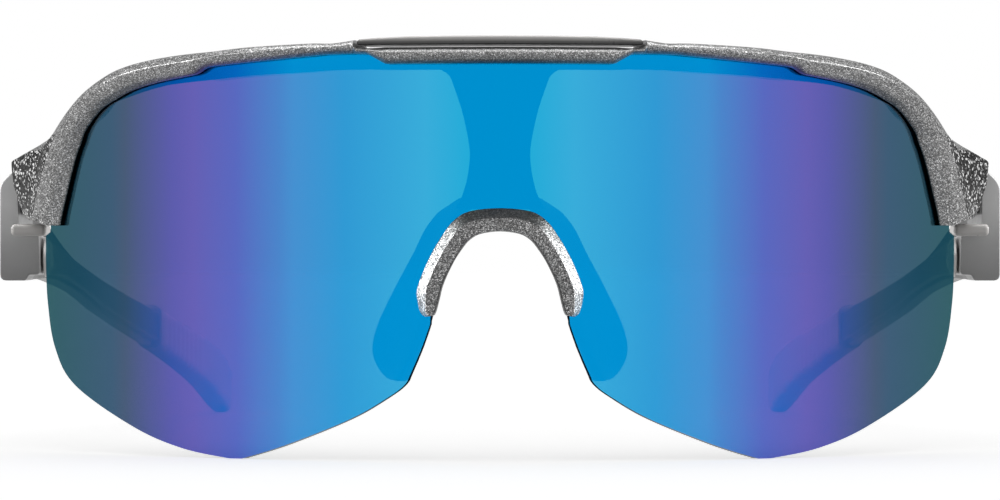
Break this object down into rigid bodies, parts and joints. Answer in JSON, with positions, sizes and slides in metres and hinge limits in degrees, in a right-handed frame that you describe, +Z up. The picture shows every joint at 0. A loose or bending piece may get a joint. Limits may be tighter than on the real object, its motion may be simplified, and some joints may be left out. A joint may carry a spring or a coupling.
{
  "type": "wraparound sport sunglasses",
  "caption": "Half-rim wraparound sport sunglasses with a mirrored shield lens, a clip-on nosepiece and two temples that fold on steel hinges.",
  "frame": {"origin": "on the surface that the sunglasses stand on, below the middle of their box", "axes": "+Z up, the lens faces -Y, the open temples run towards +Y, and +X is to the right of a viewer who faces the lens"},
  "size_m": [0.1442, 0.1598, 0.0571],
  "materials": {
    "speckled_frame": "satin grey nylon with a fine metallic fleck",
    "smooth_grey_plastic": "smooth satin grey nylon",
    "light_grey_plastic": "smooth light grey plastic",
    "dark_plastic": "dark moulded nylon",
    "mirror_lens": "polycarbonate with a blue to violet mirror coating",
    "dark_rubber": "matte soft rubber",
    "pale_rubber": "matte soft light grey rubber",
    "hinge_steel": "turned and stamped steel"
  },
  "bodies": {
    "front": {"frame_front": "speckled_frame", "brow_insert": "light_grey_plastic", "shield_lens": "mirror_lens", "nose_bridge": "dark_plastic", "nosepiece_arch": "speckled_frame", "nose_pad_left": "dark_rubber", "nose_pad_right": "dark_rubber", "endpiece_base_left": "smooth_grey_plastic", "endpiece_base_right": "smooth_grey_plastic", "hinge_front_leaf_left": "hinge_steel", "hinge_front_leaf_right": "hinge_steel", "hinge_leaf_screw_left": "hinge_steel", "hinge_leaf_screw_right": "hinge_steel", "hinge_screw_left": "hinge_steel", "hinge_screw_right": "hinge_steel"},
    "temple_left": {"temple_arm_left": "smooth_grey_plastic", "temple_tip_left": "pale_rubber", "hinge_temple_leaf_left": "hinge_steel", "temple_leaf_screw_left": "hinge_steel", "hinge_cap_left": "light_grey_plastic"},
    "temple_right": {"temple_arm_right": "smooth_grey_plastic", "temple_tip_right": "pale_rubber", "hinge_temple_leaf_right": "hinge_steel", "temple_leaf_screw_right": "hinge_steel", "hinge_cap_right": "light_grey_plastic"}
  },
  "joints": [
    {"name": "temple_left_fold", "type": "hinge", "parent": "front", "child": "temple_left", "pos_m": [-0.0665, -0.03815, 0.037], "axis": [0, 0, -1], "range_deg": [0, 88]},
    {"name": "temple_right_fold", "type": "hinge", "parent": "front", "child": "temple_right", "pos_m": [0.0665, -0.03815, 0.037], "axis": [0, 0, 1], "range_deg": [0, 80]}
  ]
}
